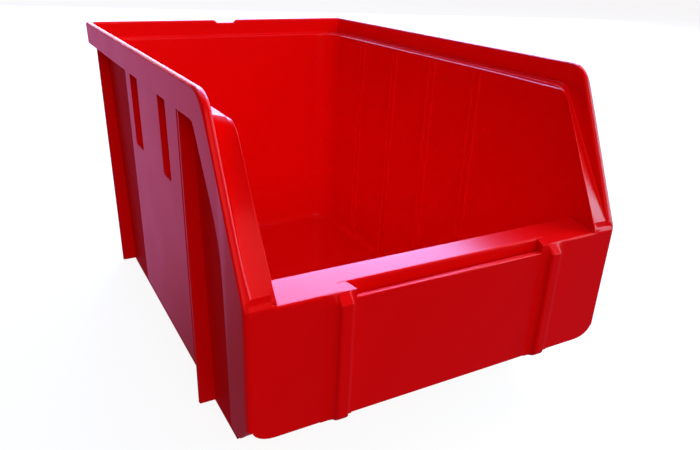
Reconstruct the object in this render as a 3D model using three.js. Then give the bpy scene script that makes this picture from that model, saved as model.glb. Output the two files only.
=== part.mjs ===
// A stackable, open-fronted storage bin ("pick bin") moulded in red polypropylene.
//
// Millimetres, +Z up, X across the width, -Y towards the open front. The origin is at the
// centre of the footprint, on the surface that the feet stand on. The real bin is one
// injection moulding: each mesh below is one named region of it (a wall, a rim, a foot rib),
// kept a hair apart from its neighbours. Walls lean outwards as they rise, so that the bin
// leaves its mould.
import * as THREE from 'three';

// Overall size.
const WIDTH = 150;
const DEPTH = 230;
const HEIGHT = 130;
const WALL = 2.3;
const SKIN = 2;
const GAP = 0.3;

// Stacking rim: an upright lip outside a ledge that carries the next bin's feet.
const LIP = 3;
const LIP_RISE = 8.2;
const LEDGE_TOP = HEIGHT - LIP_RISE;
const LEDGE_BOTTOM = LEDGE_TOP - 2.4;
const BAND_DRAFT = 0.026;
const BEND_RADIUS = 10;
const REAR_FACE = DEPTH / 2;
const NOTCH_HALF = 6.5;
const NOTCH_DEPTH = 1.5;
const WALL_TOP = LEDGE_BOTTOM - GAP;

// Side walls and the parts that stand out from them.
const WALL_FOOT = 65.3;
const WALL_DRAFT = 0.0294;
const SKIN_FOOT = 71.6;
const SKIN_DRAFT = 0.012;
const SKIN_BOTTOM = 18.4;
const SKIN_REAR = 29.5;
const SLOT_BOTTOM = 87;
const SLOTS = [[20, 7.2], [-26.6, -36.6]];
const FOOT_FRONT = -50.4;
const FOOT_DRAFT = 0.038;
const POST_FRONT = 97;
const POST_PROUD = 0.3;

// Rear wall and its rounded inner corners.
const REAR_FOOT = 107.4;
const REAR_DRAFT = 0.018;
const CORNER_RADIUS = 12;

// Base and the ramp that rises from it to the front.
const BASE_FRONT = -76;
const RAMP_TOP = [-96.5, 20];

// Slanted front edge of the cheeks, from the bend in the rim to the apron's top corner.
const BEND = [-85.7, HEIGHT];
const CHEEK_FOOT = [-112.1, 72.9];
const CHEEK_END = [2.8, 2];

// Front: sloping lip, apron, label pocket and the two ribs beside it.
const LIP_BACK = [-98, 74.5];
const FRONT_WALL_DRAFT = 0.03;
const APRON_DRAFT = 0.032;
const APRON_BOTTOM = 26.3;
const APRON_HALF = 71;
const STRIP_REAR = -94.5;
const STRIP_BOTTOM = 22.3;
const STRIP_CORNER = [2.6, 26.5];
const STRIP_FRONT_BOTTOM = 31;
const STRIP_DRAFT = 0.006;
const STRIP_TOP_REAR = LIP_BACK[1] + 5;
const STRIP_TOP_FRONT = LIP_BACK[1] + 7;
const STRIP_FOOT_WIDTH = 6;
const STRIP_DROP = 5;
const APRON_ROUND = 6;
const APRON_SHOULDER = 12;
const RIB_CHAMFER = [1.2, 2];
const RIB_INNER = 39.8;
const RIB_OUTER = 44.3;
const RIB_PROUD = 3;
const POCKET_BACK = -107.5;
const WINDOW_TOP = 70;

// Pairs of fine guides on the inner side walls, for cross dividers.
const GUIDE_PITCH = 34;
const GUIDE_FIRST = 70;
const GUIDE_PAIRS = 4;
const GUIDE_SPACING = 4.6;
const GUIDE_WIDTH = 1.2;
const GUIDE_PROUD = 0.8;
const GUIDE_BOTTOM = 6;

const ARC_STEPS = 6;

const bin = new THREE.Group();
bin.name = 'storage_bin';

const red = new THREE.MeshStandardMaterial({ color: 0xc90a0c, roughness: 0.32, metalness: 0 });

// Faces of the walls, as distances from the centre plane at height z.
const wallOuter = (z) => WALL_FOOT + WALL_DRAFT * z;
const wallInner = (z) => wallOuter(z) - WALL;
const skinOuter = (z) => SKIN_FOOT + SKIN_DRAFT * z;
const bandOuter = (z) => WIDTH / 2 - BAND_DRAFT * (HEIGHT - z);
const bandInner = (z) => bandOuter(z) - LIP;
const rearInner = (z) => REAR_FOOT + REAR_DRAFT * z;
const rearOuter = (z) => rearInner(z) + WALL;
const apronFace = (z) => CHEEK_FOOT[0] + APRON_DRAFT * (CHEEK_FOOT[1] - z);
const footFace = (z) => FOOT_FRONT - FOOT_DRAFT * z;

// A closed solid between two outlines that have the same number of points.
function loft(first, second) {
  const count = first.length;
  const normal = new THREE.Vector3();
  first.forEach((p, i) => normal.add(new THREE.Vector3().crossVectors(p, first[(i + 1) % count])));
  const size = [Math.abs(normal.x), Math.abs(normal.y), Math.abs(normal.z)];
  const drop = size.indexOf(Math.max(...size));
  const flat = (p) => {
    const axes = [p.x, p.y, p.z].filter((value, axis) => axis !== drop);
    return new THREE.Vector2(axes[0], axes[1]);
  };
  const caps = THREE.ShapeUtils.triangulateShape(first.map(flat), []);
  const triangles = [];
  for (const [a, b, c] of caps) {
    triangles.push([first[a], first[b], first[c]], [second[c], second[b], second[a]]);
  }
  const turn = THREE.ShapeUtils.isClockWise(first.map(flat)) ? -1 : 1;
  const [a0, b0, c0] = caps[0].map((i) => flat(first[i]));
  const capTurn = b0.clone().sub(a0).cross(c0.clone().sub(a0)) > 0 ? 1 : -1;
  for (let i = 0; i < count; i += 1) {
    const j = (i + 1) % count;
    const [p, q, r, s] = [first[i], first[j], second[j], second[i]];
    if (turn === capTurn) triangles.push([q, p, s], [q, s, r]);
    else triangles.push([p, q, r], [p, r, s]);
  }
  let volume = 0;
  for (const [a, b, c] of triangles) volume += a.dot(new THREE.Vector3().crossVectors(b, c));
  if (volume < 0) triangles.forEach((corners) => corners.reverse());
  const geometry = new THREE.BufferGeometry().setFromPoints(triangles.flat());
  geometry.computeVertexNormals();
  return geometry;
}

function add(name, geometry) {
  const mesh = new THREE.Mesh(geometry, red);
  mesh.name = name;
  bin.add(mesh);
}

// A plate drawn in side view: outline of [y, z] points, faces at x = inner(z) and outer(z).
const sidePlate = (side, outline, inner, outer) => loft(
  outline.map(([y, z]) => new THREE.Vector3(side * inner(z), y, z)),
  outline.map(([y, z]) => new THREE.Vector3(side * outer(z), y, z)),
);

// A plate drawn in front view: outline of [x, z] points, faces at y = back(z) and front(z).
const frontPlate = (side, outline, back, front) => loft(
  outline.map(([x, z]) => new THREE.Vector3(side * x, back(z), z)),
  outline.map(([x, z]) => new THREE.Vector3(side * x, front(z), z)),
);

// A plate drawn in plan: outline of [x, y] points, faces at z = low(y) and high(y).
const flatPlate = (side, outline, low, high) => loft(
  outline.map(([x, y]) => new THREE.Vector3(side * x, y, low(y))),
  outline.map(([x, y]) => new THREE.Vector3(side * x, y, high(y))),
);

// An upright drawn in plan at two heights.
const upright = (side, plan, bottom, top) => loft(
  plan(bottom).map(([x, y]) => new THREE.Vector3(side * x, y, bottom)),
  plan(top).map(([x, y]) => new THREE.Vector3(side * x, y, top)),
);

// Points of an arc, angles in degrees.
function arc(centre, radius, from, to) {
  const points = [];
  for (let i = 0; i <= ARC_STEPS; i += 1) {
    const angle = THREE.MathUtils.degToRad(from + ((to - from) * i) / ARC_STEPS);
    points.push([centre[0] + radius * Math.cos(angle), centre[1] + radius * Math.sin(angle)]);
  }
  return points;
}

// The slanted edge: a point `along` it from the bend, `inset` behind it.
const slantLength = Math.hypot(CHEEK_FOOT[0] - BEND[0], CHEEK_FOOT[1] - BEND[1]);
const slantY = (CHEEK_FOOT[0] - BEND[0]) / slantLength;
const slantZ = (CHEEK_FOOT[1] - BEND[1]) / slantLength;
const slant = (along, inset) => [
  BEND[0] + along * slantY - inset * slantZ,
  BEND[1] + along * slantZ + inset * slantY,
];

// Where a line parallel to the slanted edge, `inset` behind it, crosses height z.
const slantAt = (inset, z) => {
  const [y0, z0] = slant(0, inset);
  return [y0 + ((z - z0) * slantY) / slantZ, z];
};

const BAND_WIDTH = HEIGHT - LEDGE_BOTTOM;
const slantAngle = THREE.MathUtils.radToDeg(Math.atan2(-slantY, -slantZ));
const bendTangent = BEND_RADIUS * Math.tan(THREE.MathUtils.degToRad((90 - slantAngle) / 2));
const bendStart = BEND[0] + bendTangent;

// Base, walls and the inside of the front.
const floorEdge = wallInner(0) - GAP;
const cornerFoot = [WALL_FOOT - WALL - CORNER_RADIUS, REAR_FOOT - CORNER_RADIUS];
add('floor_pan', flatPlate(1, [
  [-floorEdge, BASE_FRONT],
  [floorEdge, BASE_FRONT],
  ...arc(cornerFoot, CORNER_RADIUS - GAP, 0, 90),
  ...arc([-cornerFoot[0], cornerFoot[1]], CORNER_RADIUS - GAP, 90, 180),
], () => 0, () => WALL));

const rampSlope = RAMP_TOP[1] / (BASE_FRONT - RAMP_TOP[0]);
const rampAt = (y) => (BASE_FRONT - GAP - y) * rampSlope;
add('base_ramp', flatPlate(1, [
  [-floorEdge, RAMP_TOP[0]],
  [floorEdge, RAMP_TOP[0]],
  [floorEdge, BASE_FRONT - GAP],
  [-floorEdge, BASE_FRONT - GAP],
], rampAt, (y) => rampAt(y) + WALL));

const innerWallBack = (z) => LIP_BACK[0] + FRONT_WALL_DRAFT * (LIP_BACK[1] - z);
const frontWallLow = RAMP_TOP[1] + WALL + GAP;
const frontWallHigh = LIP_BACK[1] - WALL - GAP;
add('front_inner_wall', frontPlate(1, [
  [-floorEdge, frontWallLow],
  [floorEdge, frontWallLow],
  [wallInner(frontWallHigh) - GAP, frontWallHigh],
  [-wallInner(frontWallHigh) + GAP, frontWallHigh],
], innerWallBack, (z) => innerWallBack(z) - WALL));

// The rounded corners lean out with the walls, so the rear wall widens as it rises.
const cornerShift = wallOuter(WALL_TOP) - WALL_FOOT;
const cornerPush = rearInner(WALL_TOP) - REAR_FOOT;
add('rear_wall', frontPlate(1, [
  [-cornerFoot[0] + GAP, 0],
  [cornerFoot[0] - GAP, 0],
  [cornerFoot[0] + cornerShift - GAP, WALL_TOP],
  [-cornerFoot[0] - cornerShift + GAP, WALL_TOP],
], rearInner, rearOuter));

// Behind the slanted lip the ledge runs on down, and comes level with the lip at the apron.
const cheekEndLow = [CHEEK_FOOT[0] + CHEEK_END[0], CHEEK_FOOT[1] - CHEEK_END[1]];
const cheekEndHigh = [CHEEK_FOOT[0] + GAP, CHEEK_FOOT[1] - CHEEK_END[1]];
const cheekLedgeTop = slantAt(LIP_RISE, LEDGE_TOP);
const cheekLedgeUnder = slantAt(BAND_WIDTH, LEDGE_BOTTOM);
const ledgeSplit = cheekLedgeTop[0] + 2;
const cheekLedgeOutline = [
  [ledgeSplit, LEDGE_TOP],
  cheekLedgeTop,
  slant(slantLength, 0.5),
  cheekEndHigh,
  cheekEndLow,
  cheekLedgeUnder,
  [ledgeSplit, LEDGE_BOTTOM],
];

const wallFront = apronFace(APRON_BOTTOM) + SKIN + GAP;
const sideWallOutline = [
  [cornerFoot[1] - GAP, 0],
  [BASE_FRONT, 0],
  [RAMP_TOP[0], RAMP_TOP[1]],
  [wallFront, APRON_BOTTOM + 2],
  [wallFront, cheekEndLow[1] - WALL],
  [cheekLedgeUnder[0] + GAP, WALL_TOP],
  [cornerFoot[1] + cornerPush - GAP, WALL_TOP],
];

function cornerPlan(z) {
  const shift = wallOuter(z) - WALL_FOOT;
  const push = rearInner(z) - REAR_FOOT;
  const inside = arc([cornerFoot[0] + shift, cornerFoot[1] + push], CORNER_RADIUS, 2, 88);
  const outside = arc([cornerFoot[0] + shift, cornerFoot[1] + push], CORNER_RADIUS + WALL, 88, 2);
  return [...inside, ...outside];
}

// An upright rib at each rear corner stands proud of the wall and reaches down as a rear foot.
function postPlan(z) {
  const centreX = cornerFoot[0] + wallOuter(z) - WALL_FOOT;
  const centreY = cornerFoot[1] + rearInner(z) - REAR_FOOT;
  const wallAt = (y) => centreX + Math.sqrt((CORNER_RADIUS + WALL) ** 2 - Math.max(0, y - centreY) ** 2);
  const outer = skinOuter(z) + POST_PROUD;
  const back = POST_FRONT + SKIN;
  return [
    [wallAt(POST_FRONT) + GAP, POST_FRONT],
    [outer, POST_FRONT],
    [outer, back],
    [wallAt(back) + GAP, back],
  ];
}

// A flat skin stands off the wall between the feet, with two shallow slots open at the top.
const skinFront = (z) => footFace(z) + SKIN + GAP;
const slotEdges = SLOTS.flatMap(([rear, front]) => [
  [rear, WALL_TOP],
  [rear, SLOT_BOTTOM],
  [front, SLOT_BOTTOM],
  [front, WALL_TOP],
]);
const skinOutline = [
  [skinFront(WALL_TOP), WALL_TOP],
  [skinFront(SKIN_BOTTOM), SKIN_BOTTOM],
  [SKIN_REAR, SKIN_BOTTOM],
  [SKIN_REAR, WALL_TOP],
  ...slotEdges,
];

const footOutline = [
  [wallOuter(0) + GAP, 0],
  [skinOuter(0), 0],
  [skinOuter(WALL_TOP), WALL_TOP],
  [wallOuter(WALL_TOP) + GAP, WALL_TOP],
];
const endRibOutline = [
  [wallOuter(SKIN_BOTTOM) + GAP, SKIN_BOTTOM],
  [skinOuter(SKIN_BOTTOM) - SKIN - GAP, SKIN_BOTTOM],
  [skinOuter(WALL_TOP) - SKIN - GAP, WALL_TOP],
  [wallOuter(WALL_TOP) + GAP, WALL_TOP],
];

// The band that wraps the rim: straight along the side, then over the bend and down the slant.
const rimSplit = bendStart + 12;
const rimOutline = [
  [REAR_FACE - LIP - GAP, HEIGHT],
  [REAR_FACE - LIP - GAP, LEDGE_BOTTOM],
  [rimSplit, LEDGE_BOTTOM],
  [rimSplit, HEIGHT],
];
const bendCentre = [bendStart, HEIGHT - BEND_RADIUS];
const cheekRimOutline = [
  [rimSplit - GAP, LEDGE_BOTTOM],
  [rimSplit - GAP, HEIGHT],
  ...arc(bendCentre, BEND_RADIUS, 90, 180 - slantAngle),
  slant(slantLength, 0),
  slant(slantLength, BAND_WIDTH),
  slantAt(BAND_WIDTH, LEDGE_BOTTOM),
];

// Upright strip at the front corner, level with the band and with a rounded lower end.
const stripFront = apronFace(STRIP_FRONT_BOTTOM) + SKIN;
const stripOutline = [
  slantAt(BAND_WIDTH + GAP, STRIP_TOP_FRONT),
  [STRIP_REAR, STRIP_TOP_REAR],
  [STRIP_REAR, STRIP_BOTTOM],
  [STRIP_REAR - STRIP_FOOT_WIDTH, STRIP_BOTTOM],
  [stripFront + STRIP_CORNER[0], STRIP_CORNER[1]],
  [stripFront + GAP, STRIP_FRONT_BOTTOM],
  [apronFace(CHEEK_FOOT[1]) + SKIN + GAP, CHEEK_FOOT[1] - STRIP_DROP],
  slant(slantLength + GAP, BAND_WIDTH + GAP),
];
const stripOuter = (z) => bandOuter(CHEEK_FOOT[1]) - STRIP_DRAFT * (CHEEK_FOOT[1] - z);

const lipAt = (y) => LIP_BACK[1] - ((LIP_BACK[0] - y) * (LIP_BACK[1] - CHEEK_FOOT[1]))
  / (LIP_BACK[0] - CHEEK_FOOT[0]);
const apronTop = lipAt(CHEEK_FOOT[0]) - WALL - GAP;
const apronOutline = [
  [RIB_OUTER + GAP, apronTop],
  [RIB_OUTER + GAP, APRON_BOTTOM],
  ...arc([APRON_HALF - 4, APRON_BOTTOM + APRON_ROUND], APRON_ROUND, -90, 0),
  [stripOuter(apronTop), CHEEK_FOOT[1] - APRON_SHOULDER],
  [stripOuter(apronTop), apronTop],
];
const ribFront = (z) => apronFace(z) - RIB_PROUD;
const ribOutline = [
  [RIB_INNER, APRON_BOTTOM + RIB_CHAMFER[1]],
  [RIB_INNER + RIB_CHAMFER[0], APRON_BOTTOM],
  [RIB_OUTER - RIB_CHAMFER[0], APRON_BOTTOM],
  [RIB_OUTER, APRON_BOTTOM + RIB_CHAMFER[1]],
  [RIB_OUTER, apronTop],
  [RIB_INNER, apronTop],
];

for (const [name, side] of [['left', -1], ['right', 1]]) {
  add(`side_wall_${name}`, sidePlate(side, sideWallOutline, wallInner, wallOuter));
  add(`rear_corner_${name}`, upright(side, cornerPlan, 0, WALL_TOP));
  add(`rear_post_${name}`, upright(side, postPlan, 0, WALL_TOP));
  add(`side_skin_${name}`, sidePlate(side, skinOutline, (z) => skinOuter(z) - SKIN, skinOuter));
  add(`skin_end_rib_${name}`, frontPlate(side, endRibOutline, () => SKIN_REAR, () => SKIN_REAR - SKIN));
  add(`foot_rib_${name}`, frontPlate(side, footOutline, (z) => footFace(z) + SKIN, footFace));
  add(`rim_${name}`, sidePlate(side, rimOutline, bandInner, bandOuter));
  add(`cheek_rim_${name}`, sidePlate(side, cheekRimOutline, bandInner, bandOuter));
  const ledgeOuter = bandInner(LEDGE_BOTTOM) - GAP;
  add(`ledge_${name}`, flatPlate(side, [
    [wallInner(LEDGE_TOP), cornerFoot[1] - GAP],
    [wallInner(LEDGE_TOP), ledgeSplit + GAP],
    [ledgeOuter, ledgeSplit + GAP],
    [ledgeOuter, cornerFoot[1] - GAP],
  ], () => LEDGE_BOTTOM, () => LEDGE_TOP));
  const cheekLedgeOuter = (z) => bandInner(z) - GAP;
  add(`cheek_ledge_${name}`, sidePlate(side, cheekLedgeOutline, wallInner, cheekLedgeOuter));
  add(`front_strip_${name}`, sidePlate(side, stripOutline, (z) => stripOuter(z) - SKIN, stripOuter));
  add(`apron_${name}`, frontPlate(side, apronOutline, (z) => apronFace(z) + SKIN, apronFace));
  add(`front_rib_${name}`, frontPlate(side, ribOutline, (z) => apronFace(z) + SKIN, ribFront));
  for (let pair = 0; pair < GUIDE_PAIRS; pair += 1) {
    for (const half of [0, 1]) {
      const y = GUIDE_FIRST - pair * GUIDE_PITCH + (0.5 - half) * GUIDE_SPACING;
      const outline = [
        [y - GUIDE_WIDTH / 2, GUIDE_BOTTOM],
        [y + GUIDE_WIDTH / 2, GUIDE_BOTTOM],
        [y + GUIDE_WIDTH / 2, WALL_TOP],
        [y - GUIDE_WIDTH / 2, WALL_TOP],
      ];
      const face = (z) => wallInner(z) - GAP;
      const guide = sidePlate(side, outline, (z) => face(z) - GUIDE_PROUD, face);
      add(`divider_guide_${name}_${2 * pair + half + 1}`, guide);
    }
  }
}

// Rear rim with its finger notch, and the ledge that follows the rounded rear corners inside it.
add('rim_rear', frontPlate(1, [
  [-bandOuter(LEDGE_BOTTOM), LEDGE_BOTTOM],
  [bandOuter(LEDGE_BOTTOM), LEDGE_BOTTOM],
  [bandOuter(HEIGHT), HEIGHT],
  [NOTCH_HALF, HEIGHT],
  [NOTCH_HALF - NOTCH_DEPTH, HEIGHT - NOTCH_DEPTH],
  [-NOTCH_HALF + NOTCH_DEPTH, HEIGHT - NOTCH_DEPTH],
  [-NOTCH_HALF, HEIGHT],
  [-bandOuter(HEIGHT), HEIGHT],
], () => REAR_FACE - LIP, () => REAR_FACE));

const ledgeSide = bandInner(LEDGE_BOTTOM) - GAP;
const ledgeCorner = [wallInner(LEDGE_TOP) - CORNER_RADIUS, rearInner(LEDGE_TOP) - CORNER_RADIUS];
add('ledge_rear', flatPlate(1, [
  [-ledgeSide, REAR_FACE - LIP - GAP],
  [-ledgeSide, cornerFoot[1]],
  [-wallInner(LEDGE_TOP), cornerFoot[1]],
  ...arc([-ledgeCorner[0], ledgeCorner[1]], CORNER_RADIUS, 180, 90),
  ...arc(ledgeCorner, CORNER_RADIUS, 90, 0),
  [wallInner(LEDGE_TOP), cornerFoot[1]],
  [ledgeSide, cornerFoot[1]],
  [ledgeSide, REAR_FACE - LIP - GAP],
], () => LEDGE_BOTTOM, () => LEDGE_TOP));

// Front lip: its front edge is cut back between the ribs, where the label pocket opens.
const lipHalf = wallInner(LIP_BACK[1]) - GAP;
add('front_lip', flatPlate(1, [
  [-lipHalf, LIP_BACK[0]],
  [-lipHalf, CHEEK_FOOT[0]],
  [-RIB_OUTER, CHEEK_FOOT[0]],
  [-RIB_OUTER, POCKET_BACK],
  [RIB_OUTER, POCKET_BACK],
  [RIB_OUTER, CHEEK_FOOT[0]],
  [lipHalf, CHEEK_FOOT[0]],
  [lipHalf, LIP_BACK[0]],
], (y) => lipAt(y) - WALL, lipAt));

const pocketHalf = RIB_INNER - GAP;
add('pocket_back_wall', frontPlate(1, [
  [-RIB_OUTER, APRON_BOTTOM],
  [RIB_OUTER, APRON_BOTTOM],
  [RIB_OUTER, lipAt(POCKET_BACK) - WALL - GAP],
  [-RIB_OUTER, lipAt(POCKET_BACK) - WALL - GAP],
], () => POCKET_BACK + SKIN, () => POCKET_BACK));
add('label_panel', frontPlate(1, [
  [-pocketHalf, APRON_BOTTOM],
  [pocketHalf, APRON_BOTTOM],
  [pocketHalf, WINDOW_TOP],
  [-pocketHalf, WINDOW_TOP],
], (z) => apronFace(z) + SKIN, apronFace));

export default bin;
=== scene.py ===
"""Looks of the stackable storage bin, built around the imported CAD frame.

The real bin is one injection moulding in glossy red polypropylene. Its tub, stacking rim, cheeks,
apron and corner strips are one continuous skin here. The side skins, feet, front ribs, label
panel and divider guides are rounded solids that stand on it.

Lengths are millimetres until a mesh is made, X across, -Y towards the open front, +Z up.
"""
import math

import bmesh
import bpy
from mathutils import Matrix, Vector


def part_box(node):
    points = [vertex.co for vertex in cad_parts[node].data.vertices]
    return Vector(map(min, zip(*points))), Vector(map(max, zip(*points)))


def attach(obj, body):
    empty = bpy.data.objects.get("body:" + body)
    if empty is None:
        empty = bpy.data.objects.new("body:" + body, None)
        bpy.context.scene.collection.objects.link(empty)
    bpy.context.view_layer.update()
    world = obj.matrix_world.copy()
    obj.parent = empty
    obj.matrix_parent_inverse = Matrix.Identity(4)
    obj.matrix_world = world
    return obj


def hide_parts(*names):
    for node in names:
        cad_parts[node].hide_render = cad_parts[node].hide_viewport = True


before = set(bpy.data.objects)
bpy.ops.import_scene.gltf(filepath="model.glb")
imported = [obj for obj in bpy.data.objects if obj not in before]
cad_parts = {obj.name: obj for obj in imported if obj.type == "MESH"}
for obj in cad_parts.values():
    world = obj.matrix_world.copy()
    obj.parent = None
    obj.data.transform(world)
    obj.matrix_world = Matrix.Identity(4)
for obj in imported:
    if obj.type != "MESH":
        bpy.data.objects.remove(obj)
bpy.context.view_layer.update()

MM = 0.001


def box(node):
    """Lowest and highest corner of a CAD node, in millimetres."""
    low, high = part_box(node)
    return low / MM, high / MM


# ---------------------------------------------------------------- sizes, read from the frame
rim_low, rim_high = box("rim_rear")
ledge_high = box("ledge_right")[1]
wall_low = box("side_wall_right")[0]
skin_low, skin_high = box("side_skin_right")
foot_low, foot_high = box("foot_rib_right")
post_low, post_high = box("rear_post_right")
rib_low, rib_high = box("front_rib_right")
lip_low, lip_high = box("front_lip")
panel_low, panel_high = box("label_panel")
pocket_low = box("pocket_back_wall")[0]
floor_low, floor_high = box("floor_pan")
ramp_low = box("base_ramp")[0]

# The stacking rim: an upright lip outside a ledge.
HALF = rim_high.x
REAR = rim_high.y
TOP = rim_high.z
BAND_LOW = rim_low.z
LIP = REAR - rim_low.y
LEDGE = ledge_high.z
# In side view (y, z) the rim bends down at BEND and slants to the front CORNER.
BEND = (-85.7, TOP)
BEND_RADIUS = 10
CORNER = (lip_low.y, 72.9)
LIP_BACK = (lip_high.y, lip_high.z)

WALL = floor_high.z
WALL_FOOT = wall_low.x
REAR_FOOT = 107.4
APRON_LOW = panel_low.z
POCKET = pocket_low.y
RAMP_START = floor_low.y
RAMP_HEIGHT = 20
RAMP_SLOPE = RAMP_HEIGHT / (RAMP_START - ramp_low.y)

# Drafts: how far a face leans for each millimetre of height.
BAND_DRAFT = 0.026
STRIP_DRAFT = 0.006
WALL_DRAFT = 0.0294
SKIN_DRAFT = 0.012
REAR_DRAFT = 0.018
APRON_DRAFT = 0.032
FRONT_WALL_DRAFT = 0.03
FOOT_DRAFT = 0.038


def band_outer(z):
    """x of the rim's outer face or, below the front corner, of the strip's."""
    if z > CORNER[1]:
        return HALF - BAND_DRAFT * (TOP - z)
    return HALF - BAND_DRAFT * (TOP - CORNER[1]) - STRIP_DRAFT * (CORNER[1] - z)


def wall_inner(z):
    """x of the side wall's inner face."""
    return WALL_FOOT + WALL_DRAFT * z


def wall_outer(z):
    return wall_inner(z) + WALL


def skin_outer(z):
    """x of the side skin's outer face."""
    return skin_high.x - SKIN_DRAFT * (skin_high.z - z)


def apron_face(z):
    """y of the apron's front face."""
    return CORNER[0] + APRON_DRAFT * (CORNER[1] - z)


def front_inner(z):
    """y of the inner face of the front wall."""
    return LIP_BACK[0] + FRONT_WALL_DRAFT * (LIP_BACK[1] - z)


def rear_inner(z):
    """y of the rear wall's inner face."""
    return REAR_FOOT + REAR_DRAFT * z


def ramp(y):
    """Height of the base at y."""
    return max(0.0, (RAMP_START - y) * RAMP_SLOPE)


def mix(a, b, t):
    return a + (b - a) * t


def mix2(a, b, t):
    return (mix(a[0], b[0], t), mix(a[1], b[1], t))


# ---------------------------------------------------------------- making objects
SHARP_ANGLE = 38


def build(name, points, faces, replaces, painted_shade_faces=()):
    """A smooth-shaded piece of the moulding: edges sharper than SHARP_ANGLE stay sharp."""
    bm = bmesh.new()
    verts = [bm.verts.new(Vector(p) * MM) for p in points]
    painted_shade_faces = set(painted_shade_faces)
    for i, face in enumerate(faces):
        # Faces listed in painted_shade_faces get the second material, the copy with its reflections turned
        # down for painted shade.
        bm.faces.new([verts[k] for k in face]).material_index = int(i in painted_shade_faces)
    bmesh.ops.remove_doubles(bm, verts=bm.verts, dist=1e-6)
    bmesh.ops.recalc_face_normals(bm, faces=bm.faces)
    mesh = bpy.data.meshes.new(name)
    bm.to_mesh(mesh)
    bm.free()
    mesh.shade_smooth()
    mesh.set_sharp_from_angle(angle=math.radians(SHARP_ANGLE))
    piece = bpy.data.objects.new(name, mesh)
    bpy.context.scene.collection.objects.link(piece)
    weighted = piece.modifiers.new("weighted_normals", "WEIGHTED_NORMAL")
    weighted.keep_sharp = True
    mesh.materials.append(glossy)
    mesh.materials.append(painted_shade_plastic)
    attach(piece, "root")
    if replaces:
        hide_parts(*replaces)
    return piece


def rounded(outline, radii, steps=5):
    """A closed 2-D outline with its corners rounded. radii: one number, or one per corner."""
    count = len(outline)
    if not isinstance(radii, (list, tuple)):
        radii = [radii] * count
    result = []
    for i, here in enumerate(outline):
        here = Vector(here)
        before = (Vector(outline[i - 1]) - here)
        after = (Vector(outline[(i + 1) % count]) - here)
        radius = radii[i]
        if radius <= 0:
            result.append(tuple(here))
            continue
        half = before.angle(after) / 2
        reach = min(radius / math.tan(half), 0.49 * before.length, 0.49 * after.length)
        radius = reach * math.tan(half)
        bisector = (before.normalized() + after.normalized()).normalized()
        centre = here + bisector * (radius / math.sin(half))
        start = here + before.normalized() * reach - centre
        end = here + after.normalized() * reach - centre
        sweep = start.angle_signed(end)
        for k in range(steps + 1):
            angle = sweep * k / steps
            turn = Matrix.Rotation(-angle, 2)
            result.append(tuple(centre + turn @ start))
    return result


def inset(outline, distance):
    """The outline moved inwards by a small distance."""
    count = len(outline)
    area = sum(outline[i][0] * outline[(i + 1) % count][1]
               - outline[(i + 1) % count][0] * outline[i][1] for i in range(count))
    side = 1 if area > 0 else -1
    result = []
    for i, here in enumerate(outline):
        a = (Vector(here) - Vector(outline[i - 1])).normalized()
        b = (Vector(outline[(i + 1) % count]) - Vector(here)).normalized()
        na = Vector((-a.y, a.x)) * side
        nb = Vector((-b.y, b.x)) * side
        direction = na + nb
        scale = 2 / max(direction.length_squared, 0.5)
        result.append(tuple(Vector(here) + direction * distance * scale))
    return result


def stacked(rings):
    """A solid between matching rings of points, closed by a flat face at each end."""
    points = [point for ring in rings for point in ring]
    faces = []
    count = len(rings[0])
    for k in range(len(rings) - 1):
        near = k * count
        far = near + count
        for i in range(count):
            j = (i + 1) % count
            faces.append((near + i, near + j, far + j, far + i))
    faces.append(tuple(range(count)))
    faces.append(tuple(range(len(points) - count, len(points))))
    return points, faces


def quarter(steps, first, last):
    """Angles of a quarter turn cut into steps, from step `first` to step `last`."""
    return [math.pi / 2 * k / steps for k in range(first, last + 1)]


def slab(outline, place, depth, edge, steps=3):
    """A solid from an outline: place(u, v, w) gives a point w in from the visible face.

    The visible face is at w = 0 and has edges rounded to radius `edge`; the hidden one is at depth.
    """
    levels = [(edge * (1 - math.sin(angle)), edge * (1 - math.cos(angle)))
              for angle in quarter(steps, 0, steps)]
    levels.append((0, depth))
    return stacked([[place(u, v, w) for u, v in inset(outline, distance)]
                    for distance, w in levels])


def joined(parts):
    points, faces = [], []
    for part_points, part_faces in parts:
        start = len(points)
        points += part_points
        faces += [tuple(i + start for i in face) for face in part_faces]
    return points, faces


# ---------------------------------------------------------------- material
REFLECTION_TINT = (1.0, 0.12, 0.16, 1)
RED = (0.87, 0.0008, 0.0008, 1)
RED_BRIGHTER = (0.92, 0.0014, 0.0012, 1)
POLYPROPYLENE_IOR = 1.49


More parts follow.
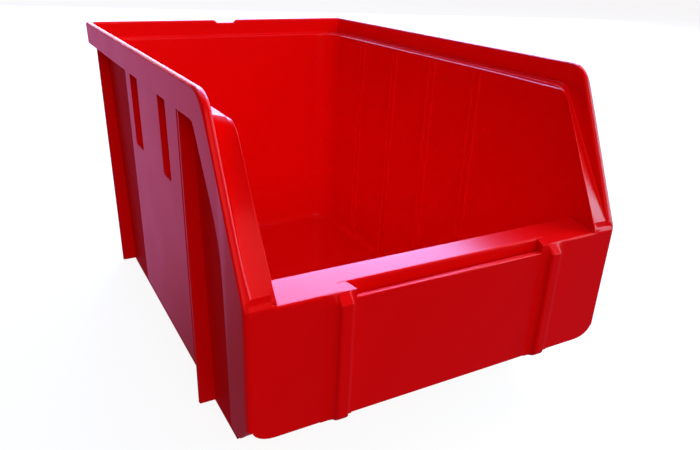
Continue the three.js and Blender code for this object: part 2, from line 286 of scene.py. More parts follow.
def plastic(name, specular, smoothest, roughest):
    """Moulded polypropylene: slight waviness, fine surface grain, uneven tone and gloss."""
    material = bpy.data.materials.new(name)
    material.use_nodes = True
    nodes = material.node_tree.nodes
    link = material.node_tree.links.new
    shader = nodes["Principled BSDF"]
    shader.inputs["IOR"].default_value = POLYPROPYLENE_IOR
    shader.inputs["Specular IOR Level"].default_value = specular
    shader.inputs["Specular Tint"].default_value = REFLECTION_TINT
    where = nodes.new("ShaderNodeTexCoord")

    def noise(scale, detail):
        node = nodes.new("ShaderNodeTexNoise")
        node.inputs["Scale"].default_value = scale
        node.inputs["Detail"].default_value = detail
        link(where.outputs["Object"], node.inputs["Vector"])
        return node.outputs["Fac"]

    def ramp_of(factor, low, high):
        node = nodes.new("ShaderNodeMapRange")
        node.inputs["To Min"].default_value = low
        node.inputs["To Max"].default_value = high
        link(factor, node.inputs["Value"])
        return node.outputs["Result"]

    tone = nodes.new("ShaderNodeMix")
    tone.data_type = "RGBA"
    tone.inputs[6].default_value = RED
    tone.inputs[7].default_value = RED_BRIGHTER
    link(noise(22, 3), tone.inputs[0])
    link(tone.outputs[2], shader.inputs["Base Color"])
    link(ramp_of(noise(60, 4), smoothest, roughest), shader.inputs["Roughness"])

    wave = nodes.new("ShaderNodeBump")
    wave.inputs["Strength"].default_value = 0.25
    wave.inputs["Distance"].default_value = 0.0003
    link(noise(30, 1), wave.inputs["Height"])
    grain = nodes.new("ShaderNodeBump")
    grain.inputs["Strength"].default_value = 0.12
    grain.inputs["Distance"].default_value = 0.00003
    link(noise(2500, 2), grain.inputs["Height"])
    link(wave.outputs["Normal"], grain.inputs["Normal"])
    link(grain.outputs["Normal"], shader.inputs["Normal"])
    return material


glossy = plastic("glossy_red_polypropylene", 0.5, 0.20, 0.30)
# Painted shade: a copy of the red plastic with weaker, blurrier reflections, for the walls set back behind
# the skins, where the skins and feet shade out the reflections.
painted_shade_plastic = plastic("red_polypropylene_painted_shade", 0.05, 0.50, 0.60)
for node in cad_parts.values():
    node.data.materials.clear()
    node.data.materials.append(glossy)


# ---------------------------------------------------------------- the moulding: its lines
# The skin is a closed grid. Stations go round the rim, from the middle of the front to the middle
# of the rear; rings go from the underside, up the outside, over the rim and down the inside.
SLANT = Vector((BEND[0] - CORNER[0], BEND[1] - CORNER[1]))
SLANT_UP = SLANT.normalized()
SLANT_ANGLE = math.atan2(SLANT_UP.x, SLANT_UP.y)
BEND_REACH = BEND_RADIUS * math.tan((math.pi / 2 - SLANT_ANGLE) / 2)
BEND_CENTRE = Vector((BEND[0] + BEND_REACH, TOP - BEND_RADIUS))

# Radii of the plan's corners, outside and inside.
CORNER_OUT = 1.5
CORNER_IN = 5
REAR_CORNER_OUT = 1.2
REAR_CORNER_IN = 12

FRONT_HALF = band_outer(CORNER[1]) - CORNER_OUT
POCKET_EDGE = 42
# The apron's lower edge curves up towards its ends.
APRON_ROUND_AT = 64.5
APRON_ROUND_WIDTH = 7.6
APRON_ROUND_RISE = 5
APRON_END_LOW = 30.8

# Lower edge of the outer skin behind the front corner, in side view, front to rear. There is one
# point for each station, placed along the edge that the photo shows.
STRIP_EDGE = [
    (-108.4, 29.4), (-106.2, 27.4), (-104.4, 25.2), (-102.8, 23.4), (-101, 22.5), (-98.8, 22.3),
    (-96.6, 22.3), (-95.6, 22.6), (-95.1, 23.4), (-95, 26), (-95, 34.5), (-94.8, 48), (-94.5, 62),
    (-94.3, 73), (-94, 82), (-93.2, 86.4), (-91.6, 91.2), (-89.9, 95.2), (-88.1, 98.6),
    (-85.3, 103.5), (-82.4, 108.5), (-79.6, 113.4), (-77.6, 116.9), (-76.3, 118.8),
]
STRIP_HOLLOW = 8      # this many of them stand off the tub, open below
STRIP_WALL_FRONT = -96.5
STRIP_WALL_BACK = 3

# Where the cheek's stations meet the floor, as y, from its foot to its bend.
CHEEK_FLOOR = (-92.6, -78)
# Stations of the bend: y of the skin's lower edge, and y at the floor.
BEND_LOWS = (-74.6, -72, -69, -66, -63)
BEND_FLOORS = (-77.4, RAMP_START, -74.6, -72, -69.6, -67, -64.5, -62)
# Where the straight side starts, as y: the skin's lower edge, and the foot of the lip.
SIDE_LOW_START = -62.5
SIDE_FOOT_START = -74.2

# Inner edge of the cheek's ledge: it runs from the front edge of the lip up to a rounded bend,
# and then spreads out to meet the straight ledge. Points are (x, y, z).
EDGE_FOOT = Vector((63.2, -112.0, 73.0))
EDGE_BEND = Vector((64.75, -86.7, 120.6))
EDGE_REACH = 3.7
EDGE_STRAIGHT = -40
EDGE_UP = (EDGE_BEND - EDGE_FOOT).normalized()
EDGE_CREEP = 0.2      # how far the edge goes up for each millimetre of the front past its foot
EDGE_START = 4        # how far up the edge the cheek starts
# The straight ledge ends in a small step down to its inner edge, which fades out on the cheek.
STEP_DROP = 1.0
STEP_AT = (0.80, 0.87)
STEP_AT_BEND = 0.6
# Foot of the lip, in side view: it leaves the front corner and meets the straight ledge.
FOOT_BEND = Vector((-79.2, LEDGE))
FOOT_REACH = 3
FOOT_START = 3.2
FOOT_UP = (FOOT_BEND - Vector(CORNER)).normalized()
FOOT_CORNER = Vector((FRONT_HALF, CORNER[0] + 0.1, CORNER[1] + 0.1))
# A line on the inner wall below the cheek's ledge, where its flare has died out.
WALL_LOW = Vector((-98.7, 74.1))
WALL_NEAR = Vector((-96, 82.5))
WALL_HIGH = Vector((-78, 108))
FLARE_DEPTH = 12
FLARE_END = (-72, LEDGE - FLARE_DEPTH)

# The notch in the middle of the rear rim.
NOTCH_DEPTH = 1.5
NOTCH_HALF = 6.6
NOTCH_SLOPE = 1.6

# Rounding of the section's corners, as the reach of the round along each side.
ARC_STEPS = 5
LOW_ROUND = 0.5
HIDDEN_ROUND = 0.2
FRONT_ROUND = 1.1
FRONT_END_ROUND = 0.6
FINE_ROUND = 0.1
RIM_ROUND = 1.25
STEP_ROUND = 0.12
EDGE_ROUND = 1.0
WALL_ROUND = 6
FLOOR_ROUND = 4.5
PLAIN_CORNERS = (0, 1, 2, 13)

SKIN = 2              # thickness of the front skin
FRONT_WALL_SET = 1.6  # how far behind the lip's back edge the front wall meets the floor
FLOOR_REACH = 7       # how far in from the walls the floor turns flat


# ---------------------------------------------------------------- the moulding: stations
def corner_arc(corner, before, after, t):
    """A point of the round between two stretches; before and after are its reach along each."""
    angle = math.pi / 2 * t
    return corner + before * (1 - math.sin(angle)) + after * (1 - math.cos(angle))


class Station:
    """One place on the way round the rim. Points are side views (y, z) unless they say x too."""

    def __init__(self, kind, t, upper, lower, foot, edge, wall, floor_y=0, hollow=False,
                 step=0.0, under_y=None):
        self.kind = kind          # front, front_corner, side, rear_corner or rear
        self.t = t                # fraction of a straight stretch, or angle in a corner
        self.upper = upper        # outer edge of the rim
        self.lower = lower        # lower edge of the outer skin
        self.foot = foot          # foot of the lip, on the ledge
        self.edge = edge          # inner edge of the ledge (x, y, z)
        self.wall = wall          # point on the inner wall below the ledge
        self.floor_y = floor_y    # y at the floor
        self.hollow = hollow      # the skin stands off the tub here, open below
        self.step = step          # how much of the ledge's step is there
        # y of the tub's wall under the rim, where that isn't the y of the skin's lower edge
        self.under_y = lower[0] if under_y is None else under_y
        self.x = t * FRONT_HALF if kind == "front" else 0
        self.pocket = kind == "front" and self.x < POCKET_EDGE


def lip_slope(y):
    """Height of the front lip at y."""
    return CORNER[1] + (y - CORNER[0]) * (LIP_BACK[1] - CORNER[1]) / (LIP_BACK[0] - CORNER[0])


def front_stations():
    """Half the width, finest near the corner, where the apron's lower edge curves up."""
    corner = Vector(CORNER)
    stations = []
    xs = [0, 20, POCKET_EDGE - 0.1, POCKET_EDGE + 0.1, 50, 58, EDGE_FOOT.x]
    xs += [APRON_ROUND_AT + (FRONT_HALF - APRON_ROUND_AT) * math.sin(angle)
           for angle in quarter(6, 0, 6)]
    for x in xs:
        curve = min(1.0, max(0.0, (x - APRON_ROUND_AT) / APRON_ROUND_WIDTH))
        low = APRON_LOW + APRON_ROUND_RISE * (1 - math.sqrt(1 - curve * curve))
        edge = EDGE_FOOT + EDGE_UP * EDGE_CREEP * max(0.0, x - EDGE_FOOT.x)
        stations.append(Station("front", x / FRONT_HALF, corner, (0, low), corner, edge, WALL_LOW,
                                hollow=True))
    return stations


def front_corner_stations(start_low):
    """The tight corner between the apron and the strip."""
    stations = []
    edge_reached = EDGE_CREEP * (FRONT_HALF - EDGE_FOOT.x)
    for k in range(1, 7):
        t = k / 7
        angle = math.pi / 2 * t
        rise = CORNER_OUT * (1 - math.cos(angle)) * SLANT_UP.y / SLANT_UP.x
        upper = Vector((CORNER[0], CORNER[1] + rise))
        edge = EDGE_FOOT + EDGE_UP * mix(edge_reached, EDGE_START, t)
        stations.append(Station("front_corner", angle, upper, (0, mix(start_low, APRON_END_LOW, t)),
                                upper, edge, mix2(WALL_LOW, WALL_NEAR, t), hollow=True))
    return stations


def cheek_stations():
    """The slanted cheek, with the strip below it."""
    stations = []
    start = CORNER_OUT / SLANT_UP.x
    end = SLANT.length - BEND_REACH
    edge_start = EDGE_FOOT + EDGE_UP * EDGE_START
    edge_end = EDGE_BEND - EDGE_UP * EDGE_REACH
    foot_start = Vector(CORNER) + FOOT_UP * FOOT_START
    foot_end = FOOT_BEND - FOOT_UP * FOOT_REACH
    lows = STRIP_EDGE[:-3]
    for k, low in enumerate(lows):
        t = k / (len(lows) - 1)
        stations.append(Station(
            "side", 0, Vector(CORNER) + SLANT_UP * mix(start, end, t), low,
            foot_start.lerp(foot_end, t), edge_start.lerp(edge_end, t),
            mix2(WALL_NEAR, WALL_HIGH, t), mix(*CHEEK_FLOOR, t), k < STRIP_HOLLOW))
    return stations


def bend_stations():
    """The bend at the top of the cheek."""
    stations = []
    lows = STRIP_EDGE[-3:] + [(y, BAND_LOW) for y in BEND_LOWS]
    count = len(lows)
    for k in range(1, count + 1):
        t = k / count
        angle = mix(math.pi - SLANT_ANGLE, math.pi / 2, t)
        radial = Vector((math.cos(angle), math.sin(angle)))
        foot = corner_arc(FOOT_BEND, -FOOT_UP * FOOT_REACH, Vector((FOOT_REACH, 0)), t)
        edge = corner_arc(EDGE_BEND, -EDGE_UP * EDGE_REACH, Vector((0.2, EDGE_REACH, 0.1)), t)
        stations.append(Station("side", 0, BEND_CENTRE + radial * BEND_RADIUS, lows[k - 1], foot,
                                edge, mix2(WALL_HIGH, FLARE_END, t), BEND_FLOORS[k - 1],
                                step=STEP_AT_BEND * t * t))
    return stations


def side_stations(bend_edge):
    """The straight side, from the bend to the rear corner."""
    stations = []
    start = BEND_CENTRE.x
    rear_end = REAR - REAR_CORNER_OUT
    ledge_end = rear_inner(LEDGE) - REAR_CORNER_IN
    wall_end = rear_inner(BAND_LOW) - REAR_CORNER_IN
    for y in (-75, -70, -65, -60, -55, -48, -40, -10, 30, 70, rear_end):
        t = (y - start) / (rear_end - start)
        blend = min(1.0, (y - start) / (EDGE_STRAIGHT - start))
        edge = Vector((mix(bend_edge.x, wall_inner(LEDGE), blend),
                       mix(bend_edge.y, ledge_end, t),
                       mix(bend_edge.z, LEDGE - STEP_DROP, blend)))
        low = (max(mix(BEND_LOWS[-1], rear_end, t), SIDE_LOW_START), BAND_LOW)
        stations.append(Station("side", 0, (y, TOP), low, (mix(SIDE_FOOT_START, rear_end, t), LEDGE), edge,
                                (mix(FLARE_END[0], ledge_end, t), FLARE_END[1]),
                                mix(BEND_FLOORS[-1], REAR_FOOT - REAR_CORNER_IN, t),
                                step=min(1.0, STEP_AT_BEND + 2 * blend),
                                under_y=min(low[0], mix(SIDE_LOW_START, wall_end, t))))
    return stations


def rear_stations():
    """The rear corner, and half of the rear with its notch."""
    edge = Vector((wall_inner(LEDGE), 0, LEDGE - STEP_DROP))
    half = HALF - REAR_CORNER_OUT
    turns = [("rear_corner", angle) for angle in quarter(9, 1, 8)]
    turns += [("rear", x / half) for x in (half, 40, 6.9, 6.1, 5.3, 4.7, 0)]
    return [Station(kind, t, (0, TOP), (0, BAND_LOW), (0, LEDGE), edge, (0, FLARE_END[1]), step=1.0)
            for kind, t in turns]


STATIONS = front_stations()
STATIONS += front_corner_stations(STATIONS[-1].lower[1])
STATIONS += cheek_stations()
STATIONS += bend_stations()
STATIONS += side_stations(STATIONS[-1].edge)
STATIONS += rear_stations()


def plan(st, y, z, half, front, rear, r_front, r_rear):
    """The point of a station on a ring whose plan is a rounded rectangle."""
    if st.kind == "front":
        return Vector((st.t * (half - r_front), front, z))
    if st.kind == "front_corner":
        return Vector((half - r_front + r_front * math.sin(st.t),
                       front + r_front - r_front * math.cos(st.t), z))
    if st.kind == "side":
        return Vector((half, y, z))
    if st.kind == "rear_corner":
        return Vector((half - r_rear + r_rear * math.cos(st.t),
                       rear - r_rear + r_rear * math.sin(st.t), z))
    return Vector((st.t * (half - r_rear), rear, z))


def notch(st):
    """How far the rim is cut down at the middle of the rear."""
    if st.kind != "rear":
        return 0.0
    x = abs(st.t * (HALF - REAR_CORNER_OUT))
    return NOTCH_DEPTH * min(1.0, max(0.0, (NOTCH_HALF - x) / NOTCH_SLOPE))


def front_line(st, z):
    return POCKET if st.pocket else apron_face(z)


def skin_point(st, yz, off):
    """A point of the outer skin: yz in side view, off = distance in from its outer face."""
    y, z = yz
    return plan(st, y, z, band_outer(z) - off, front_line(st, z) + off, REAR - off, CORNER_OUT,
                REAR_CORNER_OUT)


def front_point(st, back):
    """A point of the front lip, `back` behind its front edge."""
    y = front_line(st, CORNER[1]) + back
    return Vector((st.x, y, lip_slope(y)))


def floor_point(st, off, radius_in, over=0):
    """A point where the tub's wall meets its floor, off out from the inner face."""
    y = st.floor_y
    if st.kind == "front":
        y = LIP_BACK[0] + FRONT_WALL_SET
    if st.kind == "front_corner":
        y = LIP_BACK[0] + FRONT_WALL_SET + CORNER_IN * (1 - math.cos(st.t))
    z = over + ramp(y)
    return plan(st, y, z, wall_inner(z) + off, front_inner(z) - off, rear_inner(z) + off,
                CORNER_IN + radius_in, REAR_CORNER_IN + radius_in)


# ---------------------------------------------------------------- the moulding: rings
# A control is a corner of a station's section and how far its round reaches.
def outside(st):
    """Controls of the tub's outside and of the skin's lower edge."""
    low = Vector(st.lower)
    under = CORNER[1] - WALL
    if not st.hollow:
        z = low.y
        wall = plan(st, st.under_y, z, wall_outer(z), 0, rear_inner(z) + WALL, CORNER_OUT,
                    REAR_CORNER_IN + WALL)
        skin = skin_point(st, low, 0)
        inner = [(wall, 0), (wall.lerp(skin, 0.4), 0), (wall.lerp(skin, 0.7), 0)]
    elif st.kind == "side":
        wall_y = max(st.floor_y - STRIP_WALL_BACK, STRIP_WALL_FRONT)
        inner = [(Vector((wall_outer(under), wall_y, under)), 0),
                 (Vector((band_outer(under) - SKIN, low.x, under)), 0),
                 (skin_point(st, low, SKIN), HIDDEN_ROUND)]
    else:
        inner = [(plan(st, 0, under, wall_outer(under), front_inner(under) - WALL, REAR,
                       CORNER_IN + WALL, REAR_CORNER_IN + WALL), 0),
                 (plan(st, 0, under, band_outer(under) - SKIN, front_line(st, under) + SKIN, REAR,
                       CORNER_OUT, REAR_CORNER_OUT), 0),
                 (skin_point(st, low, SKIN), HIDDEN_ROUND)]
    return inner + [(skin_point(st, low, 0), LOW_ROUND)]


def over_front(st):
    """Controls over the front lip, which gives way to the cheek's ledge past EDGE_FOOT."""
    outer = front_point(st, 0)
    if st.x <= EDGE_FOOT.x:
        result = [(outer, FRONT_ROUND)]
        result += [(front_point(st, back), FINE_ROUND) for back in (1.4, 1.7)]
        edge = front_point(st, 2.6)
        wall = Vector((st.x * wall_inner(WALL_LOW.y) / EDGE_FOOT.x, *LIP_BACK))
    else:
        across = (st.x - EDGE_FOOT.x) / (FOOT_CORNER.x - EDGE_FOOT.x)
        foot_up = Vector((0, *FOOT_UP))
        result = [(outer, FRONT_END_ROUND)]
        for up in (1.2, 1.6):
            inner = (EDGE_FOOT + EDGE_UP * up).lerp(FOOT_CORNER + foot_up * up, across)
            result.append((inner, FINE_ROUND))
        edge = st.edge
        wall = Vector((wall_inner(WALL_LOW.y), *WALL_LOW))
    result += [(result[-1][0].lerp(edge, part), 0.05) for part in STEP_AT]
    return result + [(edge, 0.4), (wall, 0.9)]


def over_rim(st):
    """Controls over the stacking rim and its ledge, at the sides and the rear."""
    y, z = st.upper
    half = band_outer(z)
    if st.kind == "front_corner":
        outer = plan(st, y, z, half, CORNER[0], REAR, CORNER_OUT, REAR_CORNER_OUT)
        inner = Vector((half - LIP, outer.y + 1.2 * math.cos(st.t), z + 0.8))
        foot = inner + Vector((-0.4, 0.1, 0.1))
    else:
        top = z - notch(st)
        outer = plan(st, y, top, half, CORNER[0], REAR, CORNER_OUT, REAR_CORNER_OUT)
        inner = plan(st, y, top, half - LIP, CORNER[0], REAR - LIP, CORNER_OUT, REAR_CORNER_OUT)
        foot_y, foot_z = st.foot
        foot = plan(st, foot_y, foot_z, band_outer(foot_z) - LIP, CORNER[0], REAR - LIP, CORNER_OUT,
                    REAR_CORNER_OUT)
    wall_y, wall_z = st.wall
    if st.kind in ("side", "front_corner"):
        edge = st.edge
        wall = Vector((wall_inner(wall_z), wall_y, wall_z))
    else:
        edge = plan(st, 0, st.edge.z, wall_inner(LEDGE), 0, rear_inner(LEDGE), 0, REAR_CORNER_IN)
        wall = plan(st, 0, wall_z, wall_inner(wall_z), 0, rear_inner(wall_z), 0, REAR_CORNER_IN)
    result = [(outer, RIM_ROUND), (inner, RIM_ROUND), (foot, 0.5)]
    for part, level in zip(STEP_AT, (foot.z, edge.z + 0.2)):
        point = foot.lerp(edge, part)
        point.z = mix(point.z, level, st.step)
        result.append((point, STEP_ROUND))
    return result + [(edge, EDGE_ROUND), (wall, WALL_ROUND)]


def controls(st):
    """Corners of one station's section, from the underside to the floor."""
    over = over_front(st) if st.kind == "front" else over_rim(st)
    turn_in = 0.5 - CORNER_IN if "front" in st.kind else -FLOOR_REACH
    floor = [(floor_point(st, 0, 0, WALL), FLOOR_ROUND),
             (floor_point(st, -FLOOR_REACH, turn_in, WALL), 0)]
    return [(floor_point(st, WALL, WALL), 0)] + outside(st) + over + floor


def profile(st):
    """The section of one station with its corners rounded; the same number of points for all."""
    path = controls(st)
    ring = []
    for i, (corner, reach) in enumerate(path):
        if i in PLAIN_CORNERS:
            ring.append(corner)
            continue
        before, after = path[i - 1][0] - corner, path[i + 1][0] - corner
        into = before.normalized() * min(reach, before.length * 0.45)
        out = after.normalized() * min(reach, after.length * 0.45)
        for k in range(ARC_STEPS + 1):
            ring.append(corner_arc(corner, into, out, k / ARC_STEPS))
    return ring


def moulding():
    """Points and faces of the whole moulded skin."""
    right = [profile(st) for st in STATIONS]
    left = [[Vector((-p.x, p.y, p.z)) for p in ring] for ring in right[-2:0:-1]]
    loop = right + left
    depth = len(right[0])
    count = len(loop)
    points = [p for ring in loop for p in ring]
    faces = []
    for i in range(count):
        j = (i + 1) % count
        for k in range(depth - 1):
            faces.append((i * depth + k, j * depth + k, j * depth + k + 1, i * depth + k + 1))
    # Underside and floor: strips from side to side between matching stations.
    n = len(STATIONS)
    first = max(i for i, st in enumerate(STATIONS) if st.kind == "front")
    last = min(i for i, st in enumerate(STATIONS) if st.kind == "rear")
    for k in (0, depth - 1):
        front = [i * depth + k for i in range(first, -1, -1)]
        front += [(count - i) * depth + k for i in range(1, first + 1)]
        rear = [i * depth + k for i in range(last, n)]
        rear += [(count - i) * depth + k for i in range(n - 2, last - 1, -1)]
        for i in range(first, last):
            near = front if i == first else [(i * depth + k), (count - i) * depth + k]
            far = rear if i == last - 1 else [(i + 1) * depth + k, (count - i - 1) * depth + k]
            faces.append(tuple(near + far[::-1]))
    return points, faces


def outer_tub_faces():
    """Faces of the tub's outside, below the rim and behind the skins: rings 0 to 2."""
    rings = len(profile(STATIONS[0])) - 1
    stations = 2 * len(STATIONS) - 2
    return [i * rings + k for i in range(stations) for k in range(3)]


both = ("left", "right")
tub_nodes = ["floor_pan", "base_ramp", "front_inner_wall", "rear_wall", "rim_rear", "ledge_rear",
             "front_lip", "pocket_back_wall"]
for name in ("side_wall", "rear_corner", "rim", "cheek_rim", "ledge", "cheek_ledge",
             "front_strip", "apron"):
    tub_nodes += [f"{name}_{side}" for side in both]
# The tub's outside behind the skins gets the copy with its reflections turned down: painted shade.
build("bin_moulding", *moulding(), tub_nodes, outer_tub_faces())


# ---------------------------------------------------------------- side skins and feet
SKIN_EDGE = 0.6
GROOVE = 0.7
GROOVE_AT = 2.0
SLOTS = ((20, 7.2), (-26.6, -36.6))
SLOT_LOW = 88.3
SLOT_DEPTH = 2.5
SLOT_ROUND = 1.5
PANEL_ROUND = 2.0
BACKING_INSET = 0.1
HIDE = 1.6            # how far the hidden faces reach into the tub's wall
DEEP = 9              # deeper than any gap between a side face and the tub
UNDER_BAND = BAND_LOW + 0.5


def foot_face(z):
    """y of the front foot's front face."""
    return foot_low.y + FOOT_DRAFT * (foot_high.z - z)


def groove_edge(z):
    return foot_face(z) + GROOVE_AT


def slot_floor(z):
    return skin_outer(z) - SLOT_DEPTH


def post_outer(z):
    return post_high.x - SKIN_DRAFT * (post_high.z - z)


def side_place(side, face):
    """Places a side-view outline; w in from the face, but no deeper than HIDE into the wall."""
    def place(y, z, w):
        return (side * max(face(z) - w, wall_outer(z) - HIDE), y, z)
    return place


def side_panel(side):
    """The side skin with its slots, and the backing that is the floor of the slots."""
    low = skin_low.z
    back = skin_high.y
    outline = [(groove_edge(low) + GROOVE, low), (back, low), (back, UNDER_BAND)]
    radii = [0.5, PANEL_ROUND, 0]
    for rear, front in SLOTS:
        outline += [(rear, UNDER_BAND), (rear, SLOT_LOW), (front, SLOT_LOW), (front, UNDER_BAND)]
        radii += [0, SLOT_ROUND, SLOT_ROUND, 0]
    outline.append((groove_edge(UNDER_BAND) + GROOVE, UNDER_BAND))
    radii.append(0)
    panel = slab(rounded(outline, radii), side_place(side, skin_outer), SLOT_DEPTH + 0.5,
                 SKIN_EDGE)
    base = [(groove_edge(low) + BACKING_INSET, low + BACKING_INSET),
            (back - BACKING_INSET, low + BACKING_INSET), (back - BACKING_INSET, UNDER_BAND),
            (groove_edge(UNDER_BAND) + BACKING_INSET, UNDER_BAND)]
    backing = slab(rounded(base, [0.5, PANEL_ROUND, 0, 0]), side_place(side, slot_floor), DEEP,
                   BACKING_INSET)
    # The backing, the floor of the slots, gets the copy with its reflections turned down: painted shade.
    painted_shade_faces = range(len(panel[1]), len(panel[1]) + len(backing[1]))
    return joined([panel, backing]), painted_shade_faces


def front_foot(side):
    outline = [(foot_face(0), 0), (groove_edge(0), 0), (groove_edge(UNDER_BAND), UNDER_BAND),
               (foot_face(UNDER_BAND), UNDER_BAND)]
    return slab(rounded(outline, [0.6, 0.3, 0, 0]), side_place(side, skin_outer), DEEP, SKIN_EDGE)


def rear_foot(side):
    outline = [(post_low.y, 0), (post_high.y, 0), (post_high.y, UNDER_BAND),
               (post_low.y, UNDER_BAND)]
    return slab(rounded(outline, [0.6, 0.6, 0, 0]), side_place(side, post_outer), DEEP, SKIN_EDGE)


for name, side in (("left", -1), ("right", 1)):
    panel, painted_shade_faces = side_panel(side)
    build(f"side_panel_{name}", *panel, [f"side_skin_{name}", f"skin_end_rib_{name}"], painted_shade_faces)
    build(f"front_foot_{name}", *front_foot(side), [f"foot_rib_{name}"])
    build(f"rear_foot_{name}", *rear_foot(side), [f"rear_post_{name}"])


# ---------------------------------------------------------------- label panel and front ribs
PANEL_THICK = 2
RIB_PROUD = apron_face(rib_high.z) - rib_low.y
RIB_NOSE = 0.9
RIB_FOOT_ROUND = 2.6
RIB_SUNK = 0.1        # how far the rib's edges lie inside the apron
# Concave flares beside the rib, as (width, height).
INNER_FLARE = (2.4, 2.0)
OUTER_FLARE = (4.4, 2.2)


def panel_place(x, z, w):
    return (x, apron_face(z) + w, z)


panel_half = panel_high.x + 1
panel = [(-panel_half, APRON_LOW), (panel_half, APRON_LOW), (panel_half, panel_high.z),
         (-panel_half, panel_high.z)]
build("label_panel_skin", *slab(rounded(panel, 0), panel_place, PANEL_THICK, 0.6), ["label_panel"])


def rib_section():
    """The rib's plan, as x and how far it stands proud: flare, rounded nose, flare."""
    inner, outer = rib_low.x, rib_high.x
    section = [(inner - INNER_FLARE[0], -RIB_SUNK)]
    for angle in quarter(5, 1, 4):
        section.append((inner - INNER_FLARE[0] * (1 - math.sin(angle)),
                        INNER_FLARE[1] * (1 - math.cos(angle))))
    for angle in quarter(4, 0, 4):
        section.append((inner + RIB_NOSE * (1 - math.cos(angle)),
                        RIB_PROUD - RIB_NOSE * (1 - math.sin(angle))))
    for angle in quarter(4, 0, 4):
        section.append((outer - RIB_NOSE * (1 - math.sin(angle)),
                        RIB_PROUD - RIB_NOSE * (1 - math.cos(angle))))
    for angle in reversed(quarter(5, 1, 4)):
        section.append((outer + OUTER_FLARE[0] * (1 - math.sin(angle)),
                        OUTER_FLARE[1] * (1 - math.cos(angle))))
    section.append((outer + OUTER_FLARE[0], -RIB_SUNK))
    return section


def front_rib(side):
    """An upright rib with a rounded lower end and a chamfered top."""
    section = rib_section()
    behind = [(rib_high.x + 1, POCKET + 1.5), (rib_low.x - 0.5, POCKET + 1.5)]
    rows = [(APRON_LOW + RIB_FOOT_ROUND * (1 - math.cos(angle)), math.sin(angle))
            for angle in quarter(5, 0, 5)]
    rows += [(50, 1), (CORNER[1] - 3.4, 1), (CORNER[1] - 2.8, 0.93), (CORNER[1] - 0.6, 0.03)]
    rings = []
    for z, scale in rows:
        face = apron_face(z)
        plan_points = [(x, face - max(proud * scale, -RIB_SUNK)) for x, proud in section] + behind
        rings.append([(side * x, y, z) for x, y in plan_points])
    # The last ring follows the slope of the lip, just under its surface.
    top = [(x, CORNER[0] + 0.3) for x, proud in section] + behind
    rings.append([(side * x, y, (lip_slope(y) if y > CORNER[0] + 1 else CORNER[1]) - 0.05)
                  for x, y in top])
    return stacked(rings)


for name, side in (("left", -1), ("right", 1)):
    build(f"front_rib_shape_{name}", *front_rib(side), [f"front_rib_{name}"])


# ---------------------------------------------------------------- divider guides
GUIDE_HALF = 0.9
GUIDE_SUNK = 0.5
# A low rounded section, as (along the wall, how far it stands proud).
GUIDE_SECTION = ((-GUIDE_HALF, 0), (-0.5, 0.32), (-0.2, 0.6), (0, 0.66), (0.2, 0.6), (0.5, 0.32),
                 (GUIDE_HALF, 0))
GUIDE_ROWS = (WALL - GUIDE_SUNK, 30, 60, 90, LEDGE - 2.2)


def guide(node):
    """A fine upright rib on the inner wall, where its CAD node is."""
    low, high = box(node)
    side = 1 if low.x > 0 else -1
    middle = (low.y + high.y) / 2
    rings = []
    for z in GUIDE_ROWS:
        face = wall_inner(z)
        ring = [(face - proud, middle + along) for along, proud in GUIDE_SECTION]
        ring += [(face + GUIDE_SUNK, middle + GUIDE_HALF), (face + GUIDE_SUNK, middle - GUIDE_HALF)]
        rings.append([(side * x, y, z) for x, y in ring])
    return stacked(rings)


for name in both:
    nodes = sorted(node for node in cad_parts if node.startswith(f"divider_guide_{name}"))
    build(f"divider_guides_{name}", *joined([guide(node) for node in nodes]), nodes)


# ---------------------------------------------------------------- floor, light and camera
FLOOR_HALF = 20
PAPER_GREY = (0.16, 0.16, 0.16, 1)
PAPER_GLOW = 0.9
BIN_MIDDLE = Vector((0, 0, 0.07))


def floor():
    """Pale paper. It glows, so that it is as pale as the photo's, and the bin doesn't reflect it."""
    mesh = bpy.data.meshes.new("studio_floor")
    corners = [(-FLOOR_HALF, -FLOOR_HALF, 0), (FLOOR_HALF, -FLOOR_HALF, 0),
               (FLOOR_HALF, FLOOR_HALF, 0), (-FLOOR_HALF, FLOOR_HALF, 0)]
    mesh.from_pydata(corners, [], [(0, 1, 2, 3)])
    plane = bpy.data.objects.new("studio_floor", mesh)
    bpy.context.scene.collection.objects.link(plane)
    paper = bpy.data.materials.new("pale_paper")
    paper.use_nodes = True
    shader = paper.node_tree.nodes["Principled BSDF"]
    shader.inputs["Base Color"].default_value = PAPER_GREY
    shader.inputs["Roughness"].default_value = 0.9
    shader.inputs["Specular IOR Level"].default_value = 0.1
    shader.inputs["Emission Color"].default_value = (1, 1, 1, 1)
    shader.inputs["Emission Strength"].default_value = PAPER_GLOW
    mesh.materials.append(paper)
    plane.visible_glossy = False
    plane.visible_diffuse = False


def area_light(name, place, size, energy, colour):
    """A soft rectangular light that points at the bin."""
    light = bpy.data.lights.new(name, "AREA")
    light.shape = "RECTANGLE"
    light.size, light.size_y = size
    light.energy = energy
    light.color = colour
    lamp = bpy.data.objects.new(name, light)
    lamp.location = place
    lamp.rotation_euler = (BIN_MIDDLE - Vector(place)).to_track_quat("-Z", "Y").to_euler()
    bpy.context.scene.collection.objects.link(lamp)


floor()
# Bluish light on plastic that tints its reflections red gives the photo's lilac sheen.
area_light("rear_window", (0.72, 0.96, 0.95), (1.2, 0.9), 56, (0.2, 0.46, 1.0))
area_light("horizon_card", (0.75, 1.7, 0.25), (1.9, 0.45), 14, (0.8, 0.75, 1.0))
area_light("right_card", (1.5, -0.1, 0.35), (1.9, 0.6), 16, (0.1, 0.75, 1.0))
area_light("right_window", (1.35, -0.9, 0.6), (0.7, 0.7), 12, (0.1, 0.85, 1.0))
area_light("overhead", (0.1, 0.5, 1.7), (1.6, 1.2), 16, (0.1, 0.6, 1.0))
area_light("key", (-0.25, -1.65, 0.95), (1.3, 1.3), 15, (1.0, 1.0, 0.8))
area_light("right_high", (1.15, -0.05, 1.15), (0.9, 0.9), 14, (0.9, 0.5, 0.6))

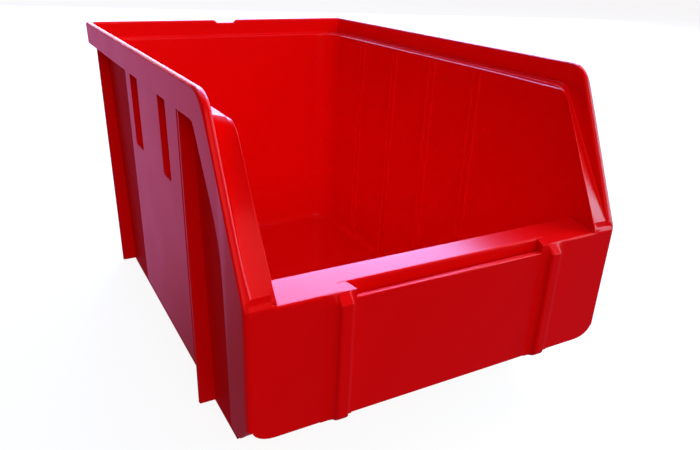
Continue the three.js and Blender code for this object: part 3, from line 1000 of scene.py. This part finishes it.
ROOM = (0.17, 0.07, 0.13, 1)
GLOW = (0.75, 0.24, 0.55, 1)
GLOW_TOWARD = (-0.16, 0.97, -0.16)
GLOW_START = 0.9      # cosine of the angle from GLOW_TOWARD at which the glow starts


def studio_world():
    """A dim room with a soft lilac glow low behind the bin."""
    world = bpy.data.worlds.new("studio")
    bpy.context.scene.world = world
    world.use_nodes = True
    nodes = world.node_tree.nodes
    link = world.node_tree.links.new
    direction = nodes.new("ShaderNodeTexCoord")
    toward = nodes.new("ShaderNodeVectorMath")
    toward.operation = "DOT_PRODUCT"
    toward.inputs[1].default_value = Vector(GLOW_TOWARD).normalized()
    link(direction.outputs["Generated"], toward.inputs[0])
    fade = nodes.new("ShaderNodeMapRange")
    fade.interpolation_type = "SMOOTHSTEP"
    fade.inputs["From Min"].default_value = GLOW_START
    fade.inputs["From Max"].default_value = 1.0
    link(toward.outputs["Value"], fade.inputs["Value"])
    colour = nodes.new("ShaderNodeMix")
    colour.data_type = "RGBA"
    colour.inputs[6].default_value = ROOM
    colour.inputs[7].default_value = GLOW
    link(fade.outputs["Result"], colour.inputs[0])
    # Past the edge of the floor the camera sees plain white.
    ray = nodes.new("ShaderNodeLightPath")
    seen = nodes.new("ShaderNodeMix")
    seen.data_type = "RGBA"
    seen.inputs[7].default_value = (1, 1, 1, 1)
    link(ray.outputs["Is Camera Ray"], seen.inputs[0])
    link(colour.outputs[2], seen.inputs[6])
    link(seen.outputs[2], nodes["Background"].inputs["Color"])


studio_world()

# The camera of the photo, found from the bin's corners in it.
CAMERA_PLACE = Vector((-0.1257, -0.2633, 0.1649))
CAMERA_RIGHT = Vector((0.87718, -0.47936, 0.02786))
CAMERA_FORWARD = Vector((0.45322, 0.80738, -0.37779))
CAMERA_LENS = 33.744
CAMERA_SENSOR = 36


def photo_camera():
    data = bpy.data.cameras.new("camera")
    data.sensor_width = CAMERA_SENSOR
    data.lens = CAMERA_LENS
    data.clip_start = 0.01
    camera = bpy.data.objects.new("camera", data)
    axes = (CAMERA_RIGHT, CAMERA_RIGHT.cross(CAMERA_FORWARD), -CAMERA_FORWARD, CAMERA_PLACE)
    rows = [tuple(axis[i] for axis in axes) for i in range(3)]
    camera.matrix_world = Matrix((*rows, (0, 0, 0, 1)))
    bpy.context.scene.collection.objects.link(camera)
    bpy.context.scene.camera = camera


photo_camera()

bpy.context.scene.view_settings.view_transform = "Standard"
